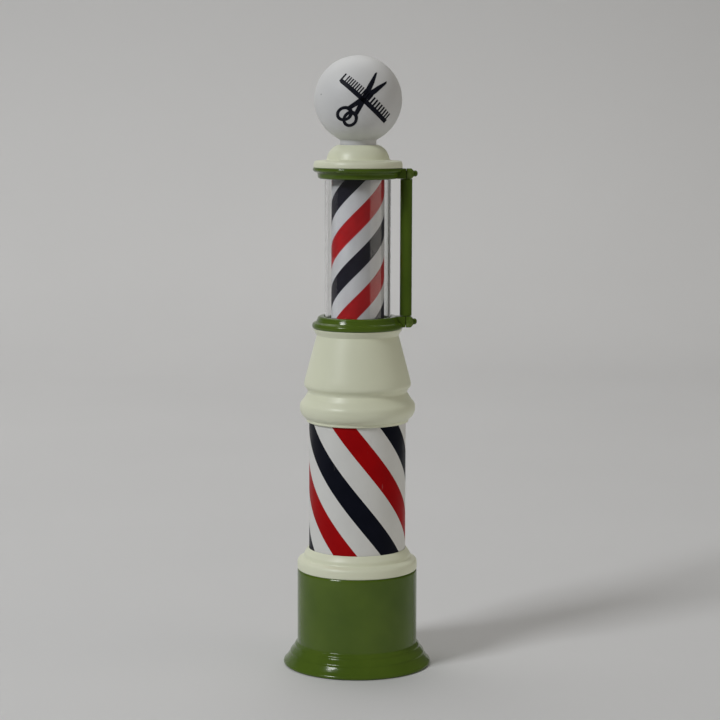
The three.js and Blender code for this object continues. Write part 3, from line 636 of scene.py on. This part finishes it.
def spigot_pocket(which):
    """The hole for the post's end, blind at the side away from the post."""
    low, high = lug_heights(which)
    bottom, top = (low + BLIND_END, high + 5) if which == "lower" else (low - 5, high - BLIND_END)
    outline = [(0, bottom), (SPIGOT_HOLE, bottom), (SPIGOT_HOLE, top), (0, top)]
    return shifted(lathe("pocket", outline, False, SMALL_ROUND), POST_X)


def make_lantern():
    lower = ring_with_lug("lantern_ring_low", [
        (22.6, 256.8), (33.3, 256.8, 0.4), (34.1, 257.4, 0.5), (34.4, 258.6, 0.5), (34.25, 259.8, 0.3),
        (33.5, 261.1, 0.4), (31.9, 261.7, 0.6), (31.15, 262.2, 0.3), (31.0, 262.6, 0.2),
        (30.3, 263.9, 0.3), (30.0, 265.2, 0.6), (28.9, 266.1, 0.5), (25.4, 266.1), (25.4, 259.9),
        (22.6, 259.9)], "lower")
    piece(lower, GREEN, "root", "green_enamel", "lower_ring")
    upper = ring_with_lug("lantern_ring_top", [
        (25.4, 368.8), (28.5, 368.8, 0.5), (29.6, 369.2, 0.6), (30.1, 370.1, 0.6), (30.2, 372.2, 1),
        *soft((30.6, 373.2), (31.6, 373.8), (33, 374.2), (33.7, 375), (33.8, 376.1)), (33.3, 377, 0.4),
        (22.6, 377), (22.6, 375), (25.4, 375)], "upper")
    piece(upper, GREEN, "root", "green_enamel", "upper_ring")

    tube = lathe("clear_sleeve", [(22.9, 260.9), (24.7, 260.9), (24.7, 374), (22.9, 374)],
                 around=FINE_ROUND)
    piece(tube, CLEAR, "root", "clear_acrylic", "clear_tube")
    for which in ("lower", "upper"):
        low, high = (corner.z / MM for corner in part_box(f"tube_gasket_{which}"))
        gasket = lathe(f"sleeve_gasket_{which}", [(22.8, low, 0.4), (25.2, low, 0.4), (25.2, high, 0.4),
                                                  (22.8, high, 0.4)])
        piece(gasket, RUBBER, "root", "rubber_pad", f"tube_gasket_{which}")

    bands = [(-85.7, -35.6, RED_BAND), (-35.6, 4.1, WHITE_BAND), (4.1, 49.7, NAVY_BAND),
             (49.7, 94.3, WHITE_BAND)]
    cylinder = striped("turning_cylinder", 18.8, 19.8, "striped_cylinder", twist=2.856, level=317,
                       bands=bands, repeats=2, rows=128)
    piece(cylinder, [FILM_WHITE, FILM_RED, FILM_NAVY], "spinner", "striped_film", "striped_cylinder")
    foot = lathe("cylinder_foot", [
        (6.1, 244.5), (7.4, 244.5), (7.4, 260.8, 0.6), (19.7, 260.8, 0.4), (19.7, 262.8), (18.7, 262.8),
        (18.7, 266), (16.5, 266), (16.5, 263.4, 0.5), (6.1, 263.4)])
    piece(seated(foot, "spinner_base"), WHITE, "spinner", "white_plastic", "spinner_base")
    lid = lathe("cylinder_lid", [
        (6.1, 370.6), (16.5, 370.6, 0.4), (16.5, 369.4), (18.7, 369.4), (18.7, 372.4), (19.7, 372.4),
        (19.7, 373.8, 0.5), (6.1, 373.8)])
    piece(seated(lid, "spinner_cap"), WHITE, "spinner", "white_plastic", "spinner_cap")
    make_post()


def make_post():
    """The side post, whose thin ends are held in the clamps, and each clamp's outer half."""
    foot, shoulder_low = lug_heights("lower")
    shoulder_high, head = lug_heights("upper")
    foot, head = foot + 1.6, head - 1.6
    shoulder_low, shoulder_high = shoulder_low + 0.3, shoulder_high - 0.3
    post = lathe("side_rod", [
        (0, foot), (SPIGOT_RADIUS, foot), (SPIGOT_RADIUS, shoulder_low),
        (POST_RADIUS, shoulder_low, 0.4), (POST_RADIUS, shoulder_high, 0.4),
        (SPIGOT_RADIUS, shoulder_high), (SPIGOT_RADIUS, head), (0, head)], False, 64)
    shifted(post, POST_X)
    piece(post, GREEN, "root", "green_enamel", "side_post")
    for which in ("lower", "upper"):
        bottom, top = lug_heights(which)
        body = block(f"clamp_half_{which}", (POST_X + CLAMP_GAP, LUG_END), (-LUG_HALF, LUG_HALF),
                     (bottom, top), 0)
        trim_outer_edges(body, 2.1, 0.35)
        joined(body, [spigot_pocket(which)], "DIFFERENCE")
        piece(body, GREEN, "root", "green_enamel", f"clamp_cap_{which}")
        dome = lathe(f"clamp_stud_{which}", [
            (0, 31), (1, 31), (1, 41.9), (2.35, 41.9, 0.2), (2.35, 42.8, 0.5), (2.0, 43.7, 0.8),
            (1.1, 44.35, 0.8), (0, 44.5)], False, SMALL_ROUND)
        slot = block("slot", (-3, 3), (-0.3, 0.3), (44.0, 46), 0)
        joined(dome, [slot], "DIFFERENCE")
        shifted(along(dome, "X"), 0, 0, (bottom + top) / 2)
        piece(dome, GREEN, "root", "green_enamel", f"clamp_screw_{which}")


def trim_outer_edges(obj, chamfer, ease):
    """Chamfers the four edges of the far +X face and eases all the corners that result."""
    built = bmesh.new()
    built.from_mesh(obj.data)
    far = max(vert.co.x for vert in built.verts)
    outer = [edge for edge in built.edges if all(abs(vert.co.x - far) < 1e-6 for vert in edge.verts)]
    bmesh.ops.bevel(built, geom=outer, offset=chamfer * MM, segments=1, affect="EDGES")
    bmesh.ops.bevel(built, geom=built.edges[:], offset=ease * MM, segments=3, profile=0.5,
                    affect="EDGES")
    built.to_mesh(obj.data)
    built.free()


# ---- Cap, globe and emblem ---------------------------------------------------------------------

def make_top():
    cap = lathe("lantern_cap", [
        (30, 377), (32.9, 377, 0.3), (33.3, 377.5, 0.4), (33.3, 379, 1),
        *soft((33, 380.6), (32.3, 381.8), (31.2, 382.3)), (24.8, 382.6, 0.9), (23.6, 383.2, 0.5),
        *soft((23.3, 384.4), (22.5, 387.2), (20.6, 390.4), (18.1, 392.5), (15.9, 393.7)),
        (14.6, 394, 0.2), (14.6, 391.4), (16.6, 390.4), (18.6, 388.2, 1), (20.4, 384.6, 1),
        (20.8, 380.6), (22, 379.9), (30, 379.7)], around=FINE_ROUND)
    piece(seated(cap, "cap"), CREAM, "root", "cream_enamel", "cap")

    centre, radius = globe_ball()
    outer, z = radius / MM, centre.z / MM
    inner, neck, wall = outer - 1.65, 13.6, 1.8
    start = math.asin((neck + 0.9) / outer)
    arc = [(outer * math.sin(a), z - outer * math.cos(a), 5)
           for a in [start + (math.pi - start) * i / 28 for i in range(29)]]
    back = [(inner * math.sin(a), z - inner * math.cos(a), 5)
            for a in [math.pi - (math.pi - start) * i / 14 for i in range(15)]]
    arc[-1] = (0, z + outer)
    back[0] = (0, z + inner)
    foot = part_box("globe")[0].z / MM
    outline = [*back[:-1], (neck - wall, z - inner * 0.93, 0.8), (neck - wall, foot),
               (neck, foot), (neck, arc[0][1] - 0.9, 0.6), *arc]
    globe = lathe("opal_ball", outline, False, FINE_ROUND)
    piece(globe, OPAL, "root", "opal_globe", "globe")
    low, high = (corner.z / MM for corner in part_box("globe_gasket"))
    seal = lathe("ball_seal", [(13.65, low), (14.5, low), (14.5, high, 0.5), (13.65, high)])
    piece(seal, RUBBER, "root", "rubber_pad", "globe_gasket")
    make_emblem(centre, radius)


EMBLEM_GROW = 1.17
EMBLEM_CELL = 1.0       # millimetres between the cuts that let the flat mark bend round the ball
EMBLEM_TURN, EMBLEM_LIFT = 7.6, -1.6     # degrees that the mark sits off the ball's front
INK_LIFT, INK_ROOT = 0.05, -0.3


def plane_turn(obj, degrees, x=0.0, y=0.0):
    moved(obj, Matrix.Rotation(math.radians(degrees), 4, "Z"))
    return shifted(obj, x, y)


def scissors(grow):
    """An open pair of scissors in the flat, tips up; `grow` widens every part."""
    halves = []
    for side in (-1, 1):
        blade = slab("blade", [
            (-1.75 - grow, -1), (1.75 + grow, -1), (1.45 + grow, 9), (0.35 + grow, 19 + grow),
            (-0.9 - grow, 20.5 + grow), (-1.7 - grow, 12)], -1, 1)
        moved(blade, Matrix.Diagonal((side, 1, 1, 1)))
        shank = slab("shank", [
            (-1.3 - grow, -11.5), (1.3 + grow, -11.5), (1.75 + grow, 1), (-1.75 - grow, 1)], -1, 1)
        loop = lathe("loop", [
            (2.9 - grow, -1), (4.9 + grow, -1), (4.9 + grow, 1), (2.9 - grow, 1)], around=48)
        moved(loop, Matrix.Diagonal((1, 1.25, 1, 1)))
        shifted(loop, side * 1.6, -16.2)
        half = joined(blade, [shank, loop], "UNION")
        halves.append(plane_turn(half, side * -15))
    return joined(halves[0], [halves[1]], "UNION")


def comb():
    """A barber's comb in the flat, along Y: a spine with fine teeth and then coarse ones."""
    outline = [(-2.4, -21.5), (0.6, -21.5)]
    y = -20.3
    while y < 19:
        pitch, tooth = (1.7, 0.85) if y > -1 else (2.3, 1.2)
        outline += [(0.6, y), (5.2, y), (5.2, y + tooth), (0.6, y + tooth)]
        y += pitch
    outline += [(0.6, 20.2), (5.0, 20.4), (5.2, 21.5), (-1.6, 21.5), (-2.4, 19.5)]
    return slab("comb", outline, -1, 1)


def make_emblem(centre, radius):
    """Crossed scissors and comb in thin dark ink, bent onto the front of the globe."""
    tool = plane_turn(comb(), 48, 1, -1)
    joined(tool, [plane_turn(scissors(0.8), -42)], "DIFFERENCE")
    mark = joined(plane_turn(scissors(0), -42), [tool], "UNION")
    moved(mark, Matrix.Diagonal((EMBLEM_GROW, EMBLEM_GROW, 1, 1)))
    built = bmesh.new()
    built.from_mesh(mark.data)
    bpy.data.objects.remove(mark)
    for axis in (Vector((1, 0, 0)), Vector((0, 1, 0))):
        for step in range(-24, 25):
            bmesh.ops.bisect_plane(built, geom=built.verts[:] + built.edges[:] + built.faces[:],
                                   plane_co=axis * step * EMBLEM_CELL * MM, plane_no=axis,
                                   dist=1e-8)
    bmesh.ops.triangulate(built, faces=built.faces[:])
    facing = (Matrix.Rotation(math.radians(EMBLEM_TURN), 3, "Z")
              @ Matrix.Rotation(math.radians(EMBLEM_LIFT), 3, "X"))
    for vert in built.verts:
        u, v, w = vert.co
        reach = math.hypot(u, v)
        angle = reach / radius
        spread = math.sin(angle) / reach if reach > 1e-9 else 0
        direction = facing @ Vector((u * spread, -math.cos(angle), v * spread))
        lift = (INK_LIFT if w > 0 else INK_ROOT) * MM
        vert.co = centre + direction * (radius + lift)
    piece(to_object("ball_emblem", built), INK, "root", "opal_globe")


# ---- Nodes that keep their CAD shape -----------------------------------------------------------

SLOT_FINISH = {
    "green_enamel": GREEN, "cream_enamel": CREAM, "striped_sheet": SHEET_WHITE,
    "striped_film": FILM_WHITE, "clear_acrylic": CLEAR, "opal_globe": OPAL, "black_plastic": BLACK,
    "white_plastic": WHITE, "gear_nylon": NYLON, "rubber_pad": RUBBER, "plated_steel": ZINC,
    "motor_case": CAN, "bush_brass": BRASS, "cast_iron": IRON, "circuit_board": BOARD,
    "lamp_diffuser": FROST, "lead_cover": LEAD,
}


def finish_inside():
    for part in frame["record"]["subparts"]:
        mesh = frame["nodes"][part["node"]].data
        for index in range(len(mesh.materials)):
            mesh.materials[index] = SLOT_FINISH[part["material_slot"]]


# ---- Studio ------------------------------------------------------------------------------------

def studio_surface():
    """A pale sweep: floor, a wide curve and a back wall, with painted shade higher up. It ends close by
    on the right.
    """
    left, right = -4.0, 0.8
    near, depth, bend, tall = -0.6, 1.7, 0.9, 3.5
    outline = [(near, 0.0), (depth, 0.0)]
    outline += [(depth + bend * math.sin(a), bend - bend * math.cos(a))
                for a in [math.pi / 2 * i / 16 for i in range(1, 17)]]
    outline += [(depth + bend, tall)]
    built = bmesh.new()
    rows = [[built.verts.new((x, y, z)) for x in (left, right)] for y, z in outline]
    for one, two in zip(rows, rows[1:]):
        built.faces.new((one[0], one[1], two[1], two[0]))
    mesh = bpy.data.meshes.new("sweep")
    built.to_mesh(mesh)
    built.free()
    for polygon in mesh.polygons:
        polygon.use_smooth = True
    sweep = bpy.data.objects.new("sweep", mesh)
    bpy.context.scene.collection.objects.link(sweep)
    f = Finish("sweep_paper", IOR=1.4)
    tone = f.mix(f.span(f.noise(2.2, 2), 0.3, 0.7), (0.665, 0.665, 0.667), (0.685, 0.685, 0.687))
    # Painted shade: the sweep's colour darkens from 0.1 m up to 0.6 m, where the light falls off.
    tone = f.mix(f.span(f.height(), 0.1, 0.6), tone, (0.61, 0.61, 0.612))
    f.bump(f.noise(700, 2), 0.02)
    mesh.materials.append(f.done(tone, 0.8))


def soft_box(name, azimuth, elevation, distance, size, watts, color, target=(0, 0, 0.23)):
    """A soft area lamp aimed at a point, in degrees round from the front towards +X and up."""
    lamp = bpy.data.lights.new(name, "AREA")
    lamp.shape = "RECTANGLE"
    lamp.size, lamp.size_y = size
    lamp.energy = watts
    lamp.color = color
    away = towards(azimuth, elevation)
    obj = bpy.data.objects.new(name, lamp)
    obj.location = Vector(target) + away * distance
    obj.rotation_euler = away.to_track_quat("Z", "Y").to_euler()
    bpy.context.scene.collection.objects.link(obj)
    return obj


def make_studio():
    studio_surface()
    world = bpy.data.worlds.new("room")
    bpy.context.scene.world = world
    world.use_nodes = True
    background = world.node_tree.nodes["Background"]
    background.inputs["Color"].default_value = (1.0, 0.975, 0.91, 1)
    background.inputs["Strength"].default_value = 0.09
    soft_box("key", azimuth=-49, elevation=36.5, distance=4.2, size=(1.05, 1.05), watts=87,
             color=(0.97, 0.985, 1.0))
    soft_box("overhead", azimuth=180, elevation=86, distance=2.6, size=(3.0, 3.0), watts=41,
             color=(1.0, 0.985, 0.96), target=(-0.55, 1.5, 0.23))
    fill = soft_box("fill", azimuth=70, elevation=9, distance=4.0, size=(3.6, 2.4), watts=38,
                    color=(1.0, 0.945, 0.85))
    fill.visible_glossy = False
    bpy.context.scene.view_settings.view_transform = "Standard"


def make_camera():
    """Level with the globe, 1.58 m in front, with a long lens that looks 7 degrees down."""
    camera = bpy.data.cameras.new("camera")
    camera.lens = 105.7
    camera.sensor_width = 36
    obj = bpy.data.objects.new("camera", camera)
    obj.location = (0.0018, -1.5808, 0.427)
    down = math.radians(7.01)
    lean = math.radians(0.15)
    turn = Matrix.Rotation(math.pi / 2 - down, 3, "X") @ Matrix.Rotation(lean, 3, "Z")
    obj.rotation_euler = turn.to_euler()
    bpy.context.scene.collection.objects.link(obj)
    bpy.context.scene.camera = obj


make_camera()
make_base()
make_panel()
make_column()
make_lantern()
make_top()
finish_inside()
make_studio()
